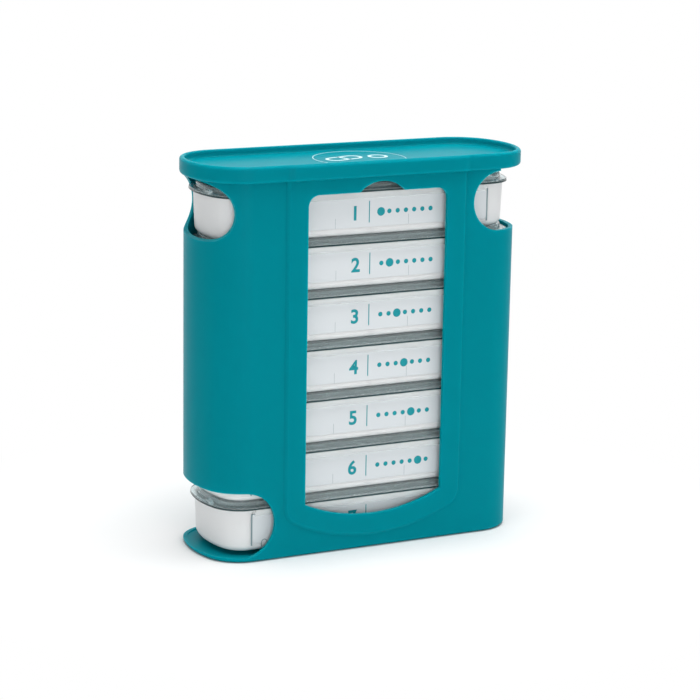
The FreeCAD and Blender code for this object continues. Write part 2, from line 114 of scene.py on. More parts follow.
class OrganizerCase(bpy.types.PropertyGroup):
    """The case and its cap."""
    edge_round: length(0.35 * MM, "Case edge round", "Rounding of the case's moulded edges")
    panel_corner: length(4.0 * MM, "Panel corner", "Rounding of the front panel's lower corners")
    panel_slope: length(1.2 * MM, "Panel slope", "Run of the sloping sides of the front panel")
    cap_round: length(1.1 * MM, "Cap round", "Rounding of the cap's outer edges")
    cap_rim: length(1.8 * MM, "Cap rim", "Width of the rim round the tray")
    rim_round: length(0.7 * MM, "Rim round", "Rounding of the rim's inner edge")
    tray_depth: length(2.7 * MM, "Tray depth", "Depth of the tray in the cap")
    tray_cove: length(1.4 * MM, "Tray cove", "Rounding between the tray's wall and its floor")
    underside: length(1.6 * MM, "Cap underside", "Depth of the hollow under the cap")
    cap_seat: length(1.5 * MM, "Cap seat", "How far the cap rests on the case's wall")
    step_width: length(66.6 * MM, "Cap step width", "Width of the cap's step over the front panel")
    step_blend: length(1.6 * MM, "Step blend", "Distance in which that step rises")
    emblem_radius: length(16.4 * MM, "Emblem radius", "Radius of the printed ring on the tray")
    emblem_shift: length(3.0 * MM, "Emblem shift", "How far it stands right of the middle")
    emblem_line: length(0.25 * MM, "Emblem line", "Width of the printed ring's line")
    emblem_stroke: length(1.1 * MM, "Emblem stroke", "Width of the lines inside the ring")
    print_thickness: length(0.04 * MM, "Print thickness", "Thickness of the printing")


class OrganizerDrawer(bpy.types.PropertyGroup):
    """The cups, lids and labels."""
    cup_inset: length(3.7 * MM, "Cup inset", "Inset of the cup's wall")
    cup_wall: length(1.0 * MM, "Cup wall", "Thickness of the cup's wall")
    cup_round: length(2.0 * MM, "Cup round", "Rounding of the cup's lower edge")
    cup_taper: length(0.8 * MM, "Cup taper", "How far a cup's ends come in towards its foot")
    flange_height: length(1.5 * MM, "Flange height", "Height of the flange along a cup's sides")
    flange_length: length(89.0 * MM, "Flange length", "Length of that flange")
    divider: length(1.0 * MM, "Divider", "Thickness of a divider")
    divider_pitch: length(28.0 * MM, "Divider pitch", "Distance between two dividers")
    divider_drop: length(1.0 * MM, "Divider drop", "How far a divider stays below the rim")
    lid_edge: length(1.1 * MM, "Lid edge", "Thickness of the lid's edge")
    lid_edge_round: length(0.3 * MM, "Lid edge round", "Rounding of the lid's edge")
    lid_step_inset: length(4.6 * MM, "Lid step inset", "Inset of the lid's raised middle")
    lid_step_round: length(0.5 * MM, "Lid step round", "Rounding of the raised middle's edge")
    lid_skin: length(1.0 * MM, "Lid skin", "Thickness of the lid's raised middle")
    rail_length: length(88.0 * MM, "Rail length", "Length of the rails under the lid")
    rail_hook: length(0.5 * MM, "Rail hook", "Height of a rail's hook")
    rail_fit: length(0.2 * MM, "Rail fit", "Clearance between a rail and the flange")
    rail_setback: length(0.2 * MM, "Rail setback", "How far a rail is behind the lid's edge")
    grip_length: length(5.0 * MM, "Grip length", "Length of the lid's grip")
    grip_width: length(1.4 * MM, "Grip width", "Width of the lid's grip")
    grip_height: length(0.9 * MM, "Grip height", "Height of the grip over the lid's edge")
    grip_setback: length(1.6 * MM, "Grip setback", "Distance of the grip from the lid's end")
    grip_forward: length(6.5 * MM, "Grip forward", "Distance of the grip from the lid's middle")
    label_foot: length(2.7 * MM, "Label foot", "Height of the label over the cup's bottom")
    label_gap: length(0.15 * MM, "Label gap", "Gap between the label and the flange over it")
    label_film: length(0.15 * MM, "Label film", "Thickness of the label")
    label_round: length(0.6 * MM, "Label corner", "Rounding of the label's corners")
    seam_reach: length(45.0 * MM, "Seam reach", "Distance of the side seams from the middle")
    seam_line: length(0.3 * MM, "Seam line", "Width of the seam beside the label")
    tick_reach: length(14.0 * MM, "Tick reach", "Distance of the two ticks from the middle")
    tick_height: length(3.5 * MM, "Tick height", "Height of a tick")
    tick_foot: length(2.8 * MM, "Tick foot", "Height of a tick's foot over the cup's bottom")
    nick_reach: length(40.2 * MM, "Nick reach", "Distance of the finger nick from the middle")
    nick_radius: length(1.2 * MM, "Nick radius", "Outer radius of the nick's arch")
    nick_leg: length(1.4 * MM, "Nick leg", "Height of the nick's straight sides")
    figure_height: length(4.7 * MM, "Figure height", "Height of the printed figures")
    figure_foot: length(5.4 * MM, "Figure foot", "Height of a figure over the cup's bottom")
    figure_reach: length(6.5 * MM, "Figure reach", "Distance of a figure left of the middle")
    bar_height: length(7.5 * MM, "Bar height", "Height of the bar beside the figure")
    bar_line: length(0.35 * MM, "Bar line", "Width of that bar")
    ink_film: length(0.03 * MM, "Ink film", "Thickness of the printing on a label")
    dot_size: length(3.0 * MM, "Dot size", "Diameter of the day's own dot")
    dot_pitch: length(3.2 * MM, "Dot pitch", "Distance between two dots")
    dot_reach: length(3.4 * MM, "Dot reach", "Distance of the first dot from the middle")


class OrganizerFinish(bpy.types.PropertyGroup):
    """Colours of the plastics and the printing."""
    case: shade("#00828F", "Case", "Teal of the case and its cap")
    cup: shade("#EDEFF0", "Cup", "White of the cups")
    lid: shade("#E6F4F6", "Lid", "Tint of the clear lids")
    # Painted light: the rails get a whiter tint than the lid, so that their band under each lid
    # shows lighter.
    rail: shade("#FBFEFE", "Rail", "Tint of the clear rails under the lids")
    # Painted shade: colour of the dark band drawn round each lid's edge.
    edge: shade("#1F383B", "Lid edge", "Dark line at the edge of a clear lid")
    label: shade("#D1D6D9", "Label", "White of the labels")
    ink: shade("#0E8E98", "Ink", "Teal of the printing on the labels")
    # Painted shade: the grey of the shaded seams round the labels.
    line: shade("#7E9297", "Line", "Grey of the seams round the labels")
    emblem: shade("#D2EEF1", "Emblem", "Pale printing on the cap")
    floor: shade("#F2F2F2", "Floor", "Floor under the organizer")


def outline():
    return bpy.context.scene.organizer_outline


def case_sizes():
    return bpy.context.scene.organizer_case


def drawer_sizes():
    return bpy.context.scene.organizer_drawer


def finish():
    return bpy.context.scene.organizer_finish


def linear(code):
    """An sRGB hex code as linear red, green and blue.

    A channel c is c / 12.92 up to 0.04045, and ((c + 0.055) / 1.055) to the power 2.4 above it.
    """
    channels = np.array([int(code[i:i + 2], 16) for i in (1, 3, 5)]) / 255
    low = channels / 12.92
    high = ((channels + 0.055) / 1.055) ** 2.4
    return np.where(channels <= 0.04045, low, high)


# --------------------------------------------------------------------------------------- materials

def add(tree, kind, links=None, **settings):
    """Adds a node. Settings are its properties or the values of its inputs, with _ for a blank,
    and links joins its inputs to other nodes' outputs."""
    node = tree.nodes.new(kind)
    for key, value in settings.items():
        if hasattr(node, key):
            setattr(node, key, value)
        else:
            node.inputs[key.replace("_", " ")].default_value = value
    for key, source in (links or {}).items():
        tree.links.new(source, node.inputs[key])
    return node


def plastic_surface(name, code, tone, gloss, grain, stretch=(1, 1, 1), **values):
    """A plastic or printed surface, patterned on the object's own coordinates.

    Each pattern is noise with a wave of a given size in metres: tone is (size, spread) of the
    colour, gloss is (size, lowest, highest) of the roughness and grain is (size, height) of the
    relief. The other values are set on the shader.
    """
    material = bpy.data.materials.new(name)
    material.use_nodes = True
    tree = material.node_tree
    shader = tree.nodes["Principled BSDF"]
    place = add(tree, "ShaderNodeTexCoord").outputs["Object"]
    along = add(tree, "ShaderNodeMapping", {"Vector": place}, Scale=stretch).outputs["Vector"]
    clouds, patches, pores = [
        add(tree, "ShaderNodeTexNoise", {"Vector": along}, Scale=1 / size,
            Detail=3.0).outputs["Fac"]
        for size in (tone[0], gloss[0], grain[0])]
    ramp = add(tree, "ShaderNodeValToRGB", {"Fac": clouds})
    base = linear(code)
    dark_and_light = ((0.3, 1 - tone[1]), (0.7, 1 + tone[1]))
    for element, (position, share) in zip(ramp.color_ramp.elements, dark_and_light):
        element.position = position
        element.color = (*np.clip(base * share, 0, 1), 1)
    rough = add(tree, "ShaderNodeMapRange", {"Value": patches}, To_Min=gloss[1],
                To_Max=gloss[2])
    bump = add(tree, "ShaderNodeBump", {"Height": pores}, Strength=1.0, Distance=grain[1])
    tree.links.new(ramp.outputs["Color"], shader.inputs["Base Color"])
    tree.links.new(rough.outputs["Result"], shader.inputs["Roughness"])
    tree.links.new(bump.outputs["Normal"], shader.inputs["Normal"])
    for key, value in values.items():
        shader.inputs[key.replace("_", " ")].default_value = value
    return material


def moulded_abs():
    """Injection-moulded ABS, dyed through: an even, deep teal with a soft satin gloss.

    The colour wanders over about 110 mm, as flow in the mould leaves it. The mould's fine texture
    is near 0.1 mm and is drawn at 1.1 mm, so that it shows. A low IOR keeps the gloss faint, and a
    little light goes into the thin walls.
    """
    return plastic_surface(
        "Moulded_ABS_teal", finish().case, tone=(110 * MM, 0.03), gloss=(17 * MM, 0.26, 0.32),
        grain=(1.1 * MM, 0.008 * MM), IOR=1.07, Subsurface_Weight=0.7, Subsurface_Scale=4 * MM,
        Subsurface_Radius=(0.2, 1.0, 1.0))


def moulded_polypropylene():
    """Injection-moulded natural polypropylene: milky white and slightly waxy, and light shines in.

    The mould's texture is near 0.1 mm and is drawn at 1.4 mm, so that it shows.
    """
    return plastic_surface(
        "Moulded_polypropylene_white", finish().cup, tone=(40 * MM, 0.015),
        gloss=(12 * MM, 0.34, 0.44), grain=(1.4 * MM, 0.01 * MM), IOR=1.49,
        Specular_IOR_Level=0.35, Subsurface_Weight=0.7, Subsurface_Scale=4 * MM,
        Subsurface_Radius=(1.0, 1.0, 1.0))


def moulded_polystyrene(name, code, frost):
    """Injection-moulded clear polystyrene: see-through under a glossy coat, and a little frosted.

    Frost is the share of the light that scatters instead of going through. Flow marks about 14 mm
    apart run along the lid. The sheet is thin, so a low IOR keeps what is behind it in its place.
    """
    return plastic_surface(
        name, code, tone=(25 * MM, 0.01), gloss=(20 * MM, 0.09, 0.12), grain=(14 * MM, 0.001 * MM),
        stretch=(0.25, 1, 1), IOR=1.1, Transmission_Weight=1.0 - frost, Coat_Weight=0.6,
        Coat_Roughness=0.08, Coat_IOR=1.5)


def sheet_edge():
    """Painted shade: an opaque dark colour for the edge of a clear polystyrene lid, standing in
    for the shade that falls on that edge.
    """
    return plastic_surface(
        "Painted_shade_lid_edge", finish().edge, tone=(11 * MM, 0.05), gloss=(8 * MM, 0.18, 0.26),
        grain=(3 * MM, 0.004 * MM), IOR=1.5, Specular_IOR_Level=0.3)


def printed_film():
    """Calendered polypropylene film: a cool white with a mild gloss, smoother than the cup."""
    return plastic_surface(
        "Calendered_film_white", finish().label, tone=(33 * MM, 0.01), gloss=(11 * MM, 0.30, 0.38),
        grain=(2 * MM, 0.006 * MM), IOR=1.45, Specular_IOR_Level=0.3)


def printing(name, code):
    """Screen-printing ink: matt, and a little uneven in cover over about 3 mm. It also gives the
    label seams their painted shade.
    """
    return plastic_surface(name, code, tone=(3.3 * MM, 0.04), gloss=(5 * MM, 0.38, 0.5),
                           grain=(1.1 * MM, 0.003 * MM), IOR=1.45, Specular_IOR_Level=0.3)


# ----------------------------------------------------------------------------------- mesh builders

def flat_oval(half_length=None, front=None, back=None, end=None, corner=None, stations=()):
    """Points and outward normals of the flat-ended oval, anticlockwise.

    An arc's point is its centre plus its radius times (cos a, sin a), and its normal is
    (cos a, sin a). The corner arc's centre is where it touches both the side and the end arc, so
    the end arc turns by asin(rise / (end radius - corner radius)) to each side. Stations are extra
    points at given x on the front side, and they come first.
    """
    shape = outline()
    half_length = HALF_LENGTH if half_length is None else half_length
    front = HALF_DEPTH if front is None else front
    back = HALF_DEPTH if back is None else back
    end = shape.end_radius if end is None else end
    corner = shape.corner_radius if corner is None else corner
    middle = (back - front) / 2
    rise = (back + front) / 2 - corner
    turn = asin(rise / (end - corner))
    cx = half_length - end
    x = cx + (end - corner) * cos(turn)
    arcs = [
        ((x, middle - rise), corner, -pi / 2, -turn, shape.corner_steps),
        ((cx, middle), end, -turn, turn, shape.end_steps),
        ((x, middle + rise), corner, turn, pi / 2, shape.corner_steps),
        ((-x, middle + rise), corner, pi / 2, pi - turn, shape.corner_steps),
        ((-cx, middle), end, pi - turn, pi + turn, shape.end_steps),
        ((-x, middle - rise), corner, pi + turn, 3 * pi / 2, shape.corner_steps),
    ]
    points = []
    normals = []
    for index, (centre, radius, start, stop, steps) in enumerate(arcs):
        before_a_side = index in (2, 5)
        angle = np.linspace(start, stop, steps + 1)[:None if before_a_side else -1]
        away = np.column_stack([np.cos(angle), np.sin(angle)])
        points.append(np.array(centre) + radius * away)
        normals.append(away)
    if len(stations):
        row = np.column_stack([np.array(stations), np.full(len(stations), -front)])
        points.insert(0, row)
        normals.insert(0, np.tile([0.0, -1.0], (len(stations), 1)))
    return np.concatenate(points), np.concatenate(normals)


def soften(corners, steps=5, closed=False):
    """A profile with its corners rounded, from (across, up, radius) corners.

    A corner's arc touches both of its sides at radius / tan(half the corner's angle) from the
    corner, and its points turn evenly round the centre. An open profile keeps its two ends.
    """
    profile = []
    count = len(corners)
    for index, (across, up, radius) in enumerate(corners):
        here = np.array([across, up])
        if radius == 0 or not closed and index in (0, count - 1):
            profile.append(here[None])
            continue
        before = np.array(corners[index - 1][:2]) - here
        after = np.array(corners[(index + 1) % count][:2]) - here
        before /= np.linalg.norm(before)
        after /= np.linalg.norm(after)
        half = np.arccos(np.clip(before @ after, -1, 1)) / 2
        centre = here + (before + after) / np.linalg.norm(before + after) * radius / sin(half)
        start = here + before * radius / tan(half) - centre
        stop = here + after * radius / tan(half) - centre
        share = np.linspace(0, 1, steps + 1)[:, None]
        spread = pi - 2 * half
        arc = (np.sin((1 - share) * spread) * start + np.sin(share * spread) * stop) / sin(spread)
        profile.append(centre + arc)
    return np.concatenate(profile)


def carry(profile, path, normals, shift=(0.0, 0.0)):
    """Carries a profile of (inset, height) pairs round a path: each path point moves against its
    normal by the inset and stands at the height. The result is a grid of profile rows and path
    columns."""
    inset = profile[:, 0][:, None, None]
    height = profile[:, 1][:, None, None]
    flat = path[None] - inset * normals[None] + np.array(shift)
    return np.concatenate([flat, np.broadcast_to(height, (*flat.shape[:2], 1))], axis=2)


def ring_faces(rows, columns):
    """Quads of a grid whose columns close into a ring."""
    row, column = np.meshgrid(np.arange(rows - 1), np.arange(columns), indexing="ij")
    beside = (column + 1) % columns
    quads = np.stack([row * columns + column, row * columns + beside,
                      (row + 1) * columns + beside, (row + 1) * columns + column], axis=-1)
    return quads.reshape(-1, 4).tolist()


def lathe_mesh(name, grid):
    """A closed solid from a grid of rings, whose first and last ring get a flat face each."""
    rows, columns = grid.shape[:2]
    faces = ring_faces(rows, columns)
    faces.append(list(range(columns))[::-1])
    faces.append(list(range((rows - 1) * columns, rows * columns)))
    mesh = bpy.data.meshes.new(name)
    mesh.from_pydata(grid.reshape(-1, 3).tolist(), [], faces)
    return mesh


def loop_mesh(name, grid):
    """A closed band from a grid of rings, whose first and last ring are the same."""
    mesh = bpy.data.meshes.new(name)
    mesh.from_pydata(grid.reshape(-1, 3).tolist(), [], ring_faces(*grid.shape[:2]))
    return mesh


def at_height(points, z):
    """Puts a flat outline at a height."""
    return np.column_stack([points, np.full(len(points), z)])


def slab_mesh(name, points, low, high):
    """A flat plate: an outline in two dimensions, between two heights."""
    return lathe_mesh(name, np.stack([at_height(points, low), at_height(points, high)]))


def bar_mesh(name, section, left, right):
    """A straight bar: a closed (y, z) section carried along x."""
    count = len(section)
    return lathe_mesh(name, np.stack([np.column_stack([np.full(count, x), section])
                                      for x in (left, right)]))


def new_object(name, data):
    """Adds an object that holds the data."""
    item = bpy.data.objects.new(name, data)
    bpy.context.scene.collection.objects.link(item)
    return item


def piece(name, mesh, body, material, replaces=None, angle=35):
    """Links a mesh as a piece: outward normals, smooth faces, sharp edges by angle, material."""
    form = bmesh.new()
    form.from_mesh(mesh)
    bmesh.ops.remove_doubles(form, verts=form.verts, dist=1e-7)
    bmesh.ops.recalc_face_normals(form, faces=form.faces)
    form.to_mesh(mesh)
    form.free()
    mesh.shade_smooth()
    mesh.set_sharp_from_angle(angle=radians(angle))
    mesh.materials.clear()
    mesh.materials.append(material)
    item = new_object(name, mesh)
    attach(item, body)
    if replaces:
        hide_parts(replaces)
    return item


def joined(name, meshes):
    """One mesh that holds several meshes side by side."""
    form = bmesh.new()
    for mesh in meshes:
        form.from_mesh(mesh)
        bpy.data.meshes.remove(mesh)
    whole = bpy.data.meshes.new(name)
    form.to_mesh(whole)
    form.free()
    return whole


def even_shading(item):
    """Lets large flat faces set the normals, so that no gradient runs in from a round edge."""
    weighted = item.modifiers.new("Even shading", "WEIGHTED_NORMAL")
    weighted.mode = "FACE_AREA"
    weighted.keep_sharp = True
    weighted.weight = 50


# -------------------------------------------------------------------------------- the case and cap

def is_panel_corner(edge):
    """Whether an edge is one of the raised panel's two lower corners: a short edge along Y, from
    the case's front to the panel's face, at the panel's full width."""
    first, second = (vertex.co for vertex in edge.verts)
    near = 0.1 * MM
    along_y = abs(first.z - second.z) < near and abs(first.x - second.x) < near
    short = abs(abs(first.y - second.y) - PANEL_PROUD) < near
    at_face = min(first.y, second.y) < CASE_LOW.y + near
    at_side = abs(abs(first.x) - case_sizes().step_width / 2) < near
    lower = first.z < (CASE_LOW.z + CASE_HIGH.z) / 2
    return along_y and short and at_face and at_side and lower


def slope_panel_sides(form):
    """Slopes the raised panel's sides: the foot of each side moves out over the case's front."""
    face_level = CASE_LOW.y
    foot_level = CASE_LOW.y + PANEL_PROUD
    near = 0.05 * MM
    tilt = 0.1
    away = {}
    for face in form.faces:
        levels = [vertex.co.y for vertex in face.verts]
        side = abs(min(levels) - face_level) < near and abs(max(levels) - foot_level) < near
        if side and abs(face.normal.y) < tilt:
            for vertex in face.verts:
                if abs(vertex.co.y - foot_level) < near:
                    away[vertex] = away.get(vertex, Vector()) + face.normal
    for vertex, direction in away.items():
        vertex.co += direction.normalized() * case_sizes().panel_slope


def case_moulding(material):
    """The case: the packed case's own form in whole faces, with its moulded edges rounded."""
    sharp = 28
    mesh = frame["nodes"]["case_shell"].data.copy()
    mesh.name = "case_moulding"
    form = bmesh.new()
    form.from_mesh(mesh)
    bmesh.ops.remove_doubles(form, verts=form.verts, dist=1e-6)
    bmesh.ops.dissolve_limit(form, angle_limit=radians(1.0), verts=form.verts,
                             edges=form.edges)
    corners = [edge for edge in form.edges if is_panel_corner(edge)]
    bmesh.ops.bevel(form, geom=corners, offset=case_sizes().panel_corner, offset_type="OFFSET",
                    segments=8, profile=0.5, affect="EDGES")
    slope_panel_sides(form)
    form.to_mesh(mesh)
    form.free()
    item = piece("case_moulding", mesh, "case", material, "case_shell",
                 angle=sharp)
    bevel = item.modifiers.new("Moulded edges", "BEVEL")
    bevel.width = case_sizes().edge_round
    bevel.segments = 3
    bevel.limit_method = "ANGLE"
    bevel.angle_limit = radians(sharp)
    bevel.harden_normals = False
    even_shading(item)


def cap_moulding(material):
    """The cap: rounded outer edges, a rim, a tray with a coved floor, and a hollow underside.

    The front of its edge steps out over the case's panel: the step is a smooth ramp of x, from 0
    to the panel's height, and it fades from the outer edge to the tray.
    """
    sizes = case_sizes()
    front = -CAP_LOW.y - PANEL_PROUD
    half_step = sizes.step_width / 2
    reach = half_step + sizes.step_blend
    ramp = np.linspace(half_step - sizes.step_blend, reach, num=7)
    level = np.linspace(-half_step, half_step, num=13)[1:-1]
    stations = np.unique(np.round(np.concatenate([-ramp[::-1], level, ramp]), 6))
    path, normals = flat_oval(half_length=CAP_HIGH.x, front=front, back=CAP_HIGH.y,
                              end=outline().cap_end_radius, corner=outline().cap_corner_radius,
                              stations=stations)
    top = CAP_HIGH.z
    bottom = CASE_HIGH.z
    floor = top - sizes.tray_depth
    rim = sizes.cap_rim
    wall = front - HALF_DEPTH + sizes.cap_seat
    seat_round = 0.3 * MM
    lean = 0.3 * MM
    flat = 4 * MM
    ceiling = bottom + sizes.underside
    outer = soften([(wall, ceiling, 0), (wall, bottom, seat_round), (0, bottom, sizes.cap_round),
                    (0, top, sizes.cap_round), (rim, top, sizes.rim_round),
                    (rim + lean, floor, sizes.tray_cove), (rim + flat, floor, 0)])
    grid = carry(outer, path, normals)
    share = np.clip((reach - np.abs(grid[..., 0])) / (2 * sizes.step_blend), 0, 1)
    ramped = share * share * (3 - 2 * share)
    fade = np.clip(1 - outer[:, 0] / rim, 0, 1)[:, None]
    facing = np.clip(-normals[:, 1], 0, 1)[None]
    grid[..., 1] -= PANEL_PROUD * ramped * fade * facing
    mesh = lathe_mesh("cap_moulding", grid)
    item = piece("cap_moulding", mesh, "case", material, "cap", angle=40)
    even_shading(item)


def ellipse(centre, half_length, half_depth, count=96):
    """Points of an ellipse: centre + (a cos t, b sin t)."""
    turn = np.linspace(0, 2 * pi, count, endpoint=False)
    return np.array(centre) + np.column_stack([half_length * np.cos(turn),
                                               half_depth * np.sin(turn)])


def band_mesh(name, outer, inner, low, high):
    """A thin flat band between two outlines of as many points, joined in a closed loop."""
    loops = [(outer, low), (outer, high), (inner, high), (inner, low), (outer, low)]
    return loop_mesh(name, np.stack([at_height(points, z) for points, z in loops]))


def capsule(centre, half_length, radius, angle, steps=16):
    """A stadium: two half circles at half_length from the centre, turned by an angle."""
    turn = np.linspace(-pi / 2, pi / 2, steps)
    right = np.column_stack([half_length + radius * np.cos(turn), radius * np.sin(turn)])
    points = np.concatenate([right, -right])
    spin = np.array([[cos(angle), -sin(angle)], [sin(angle), cos(angle)]])
    return points @ spin.T + np.array(centre)


def cap_emblem(material):
    """A printed emblem on the tray: a fine ring round the outlines of a capsule and a tablet.

    Places and sizes inside the ring are shares of its radius.
    """
    sizes = case_sizes()
    centre = np.array([sizes.emblem_shift, 0.0])
    radius = sizes.emblem_radius
    inside = radius - sizes.emblem_line
    stroke = sizes.emblem_stroke
    low = CAP_HIGH.z - sizes.tray_depth
    high = low + sizes.print_thickness
    pill = centre + radius * np.array([-0.32, 0.1])
    tablet = centre + radius * np.array([0.48, 0.1])
    half = radius * 0.24
    bend = radius * 0.22
    bore = bend - stroke
    lean = 0.3
    parts = [
        band_mesh("ring", ellipse(centre, radius, radius), ellipse(centre, inside, inside),
                  low, high),
        band_mesh("capsule", capsule(pill, half, bend, lean), capsule(pill, half, bore, lean),
                  low, high),
        slab_mesh("seam", capsule(pill, bend - stroke / 2, stroke / 2, lean + pi / 2), low, high),
        band_mesh("tablet", ellipse(tablet, bend, bend, count=48),
                  ellipse(tablet, bore, bore, count=48), low, high),
    ]
    piece("cap_emblem", joined("cap_emblem", parts), "case", material)


# ------------------------------------------------------------------------------------- the drawers

def drawer_place(day):
    """Lowest and highest level of a day's cup, and how far it stands along the case."""
    low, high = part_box(f"day{day}_cup")
    return low.z, high.z, (low.x + high.x) / 2


def lid_place(day):
    """A lid's lowest and highest corner, the level it rests at, and its place along the case."""
    low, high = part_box(f"day{day}_lid")
    return low, high, drawer_place(day)[1], (low.x + high.x) / 2


def cup_profile(low, high):
    """The cup's section, from the flat of its underside over its rim to the flat of its floor."""
    sizes = drawer_sizes()
    outer = sizes.cup_inset
    inner = outer + sizes.cup_wall
    floor = low + sizes.cup_wall
    rim_round = 0.25 * MM
    flat = 4 * MM
    return soften([
        (outer + flat, low, 0),
        (outer, low, sizes.cup_round),
        (outer, high, rim_round),
        (inner, high, rim_round),
        (inner, floor, sizes.cup_round - sizes.cup_wall / 2),
        (inner + flat, floor, 0),
    ], steps=6)


def flange_meshes(high, shift):
    """The two flanges: bars along the cup's sides, with rounded edges."""
    sizes = drawer_sizes()
    wall = HALF_DEPTH - sizes.cup_inset - sizes.cup_wall / 2
    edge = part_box("day2_cup")[1].y
    under = high - sizes.flange_height
    bend = 0.2 * MM
    section = soften([(wall, under, 0), (edge, under, bend), (edge, high, bend), (wall, high, 0)])
    half = sizes.flange_length / 2
    for side in (-1, 1):
        yield bar_mesh("flange", section * [side, 1], shift - half, shift + half)


def divider_meshes(low, high, shift):
    """The three fixed dividers: upright plates whose lower corners follow the cup's rounding."""
    sizes = drawer_sizes()
    half = HALF_DEPTH - sizes.cup_inset - sizes.cup_wall / 2
    bottom = low + sizes.cup_wall / 2
    top = high - sizes.divider_drop
    bend = sizes.cup_round - sizes.cup_wall / 2
    section = soften([(-half, bottom, bend), (half, bottom, bend), (half, top, 0),
                      (-half, top, 0)], closed=True)
    for number in (-1, 0, 1):
        x = shift + number * sizes.divider_pitch
        yield bar_mesh("divider", section, x - sizes.divider / 2, x + sizes.divider / 2)


def cup_moulding(day, material):
    """A cup: its section carried round the oval, its flanges and its dividers.

    Towards its foot the cup's ends come in by taper times (depth below the rim / height) times
    the square of the outward normal's x, so that its straight sides stay upright.
    """
    low, high, shift = drawer_place(day)
    path, normals = flat_oval()
    grid = carry(cup_profile(low, high), path, normals, (shift, 0))
    depth = (high - grid[..., 2]) / (high - low)
    grid[..., 0] -= drawer_sizes().cup_taper * depth * normals[:, 0] * np.abs(normals[:, 0])
    parts = [
        lathe_mesh("shell", grid),
        *flange_meshes(high, shift),
        *divider_meshes(low, high, shift),
    ]
    name = f"day{day}_cup"
    whole = joined(f"{name}_moulding", parts)
    item = piece(f"{name}_moulding", whole, BODY_OF[name], material, name)
    even_shading(item)


def lid_profile(bottom, top):
    """The lid's section, from under its middle round its edge to the top of its middle."""
    sizes = drawer_sizes()
    edge = HALF_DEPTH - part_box("day2_lid")[1].y
    step = sizes.lid_step_inset
    inside = step + sizes.lid_skin
    under = top - sizes.lid_skin
    ledge = bottom + sizes.lid_edge
    seat = bottom + 0.03 * MM
    foot_round = 0.2 * MM
    under_round = 0.5 * MM
    cove = 0.3 * MM
    under_flat = 5 * MM
    top_flat = 4 * MM
    return soften([
        (inside + under_flat, under, 0),
        (inside, under, under_round),
        (inside, seat, foot_round),
        (edge, seat, foot_round),
        (edge, ledge, sizes.lid_edge_round),
        (step, ledge, cove),
        (step, top, sizes.lid_step_round),
        (step + top_flat, top, 0),
    ])


def rail_meshes(low, high, bottom, shift):
    """The two rails under the lid: each goes down past the cup's flange and hooks under it."""
    sizes = drawer_sizes()
    outer = high.y - sizes.rail_setback
    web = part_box("day2_cup")[1].y + sizes.rail_fit
    hook = HALF_DEPTH - sizes.cup_inset + sizes.rail_fit
    top = bottom + sizes.lid_edge / 2
    ledge = low.z + sizes.rail_hook
    foot_round = 0.15 * MM
    hook_round = 0.1 * MM
    section = soften([(outer, low.z, foot_round), (outer, top, 0), (web, top, 0), (web, ledge, 0),
                      (hook, ledge, hook_round), (hook, low.z, hook_round)], closed=True)
    half = sizes.rail_length / 2
    for side in (-1, 1):
        yield bar_mesh("rail", section * [side, 1], shift - half, shift + half)


def grip_mesh(low, bottom):
    """The grip: a small rounded tab on the lid's edge, near its left end."""
    sizes = drawer_sizes()
    ledge = bottom + sizes.lid_edge
    root = ledge - 0.4 * MM
    crest = ledge + sizes.grip_height
    bend = 0.5 * MM
    front = -sizes.grip_forward - sizes.grip_length / 2
    back = front + sizes.grip_length
    left = low.x + sizes.grip_setback - sizes.grip_width / 2
    section = soften([(front, root, 0), (back, root, 0), (back, crest, bend),
                      (front, crest, bend)], closed=True)
    return bar_mesh("grip", section, left, left + sizes.grip_width)


def lid_moulding(day, material):
    """A clear lid: its section carried round the oval, and its grip."""
    name = f"day{day}_lid"
    low, high, bottom, shift = lid_place(day)
    grid = carry(lid_profile(bottom, high.z), *flat_oval(), (shift, 0))
    whole = joined(f"{name}_moulding", [lathe_mesh("skin", grid), grip_mesh(low, bottom)])
    item = piece(f"{name}_moulding", whole, BODY_OF[name], material, name)
    even_shading(item)


def lid_rails(day, material):
    """The lid's two hooked rails."""
    name = f"day{day}_lid"
    whole = joined(f"{name}_rails", rail_meshes(*lid_place(day)))
    piece(f"{name}_rails", whole, BODY_OF[name], material)


def lid_line(day, material):
    """Painted shade round a lid's edge: a thin dark band just over the edge's surface, along the
    lower part of its height."""
    name = f"day{day}_lid"
    _, high, bottom, shift = lid_place(day)
    edge = HALF_DEPTH - high.y
    buried = edge + 0.03 * MM
    proud = edge - SHIM
    low = bottom + 0.05 * MM
    top = bottom + drawer_sizes().lid_edge * 0.6
    band = np.array([[buried, low], [proud, low], [proud, top], [buried, top], [buried, low]])
    mesh = loop_mesh(f"{name}_line", carry(band, *flat_oval(), (shift, 0)))
    piece(f"{name}_line", mesh, BODY_OF[name], material)


# -------------------------------------------------------------------------------------- the labels

def on_front(points, off):
    """Puts (x, z) points on the upright front of the cups, at a distance off it."""
    face = drawer_sizes().cup_inset - HALF_DEPTH
    return np.column_stack([points[:, 0], np.full(len(points), face - off), points[:, 1]])


def front_plate(name, points, near, far):
    """A flat shape on a cup's front, from one distance off its wall to another."""
    return lathe_mesh(name, np.stack([on_front(points, near), on_front(points, far)]))


def strip(left, right, low, high):
    """Corners of an upright rectangle."""
    return np.array([[left, low], [right, low], [right, high], [left, high]])


def label_film(day, material):
    """The label: a thin film with rounded corners over the cup's front, up to its flange."""
    sizes = drawer_sizes()
    node = f"day{day}_label"
    low, high, shift = drawer_place(day)
    film_low, film_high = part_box(node)
    half = (film_high.x - film_low.x) / 2
    corners = strip(shift - half, shift + half, low + sizes.label_foot,
                    high - sizes.flange_height - sizes.label_gap)
    points = soften([(*corner, sizes.label_round) for corner in corners], closed=True)
    piece(f"{node}_film", front_plate(node, points, SHIM, sizes.label_film), BODY_OF[node],
          material, node)


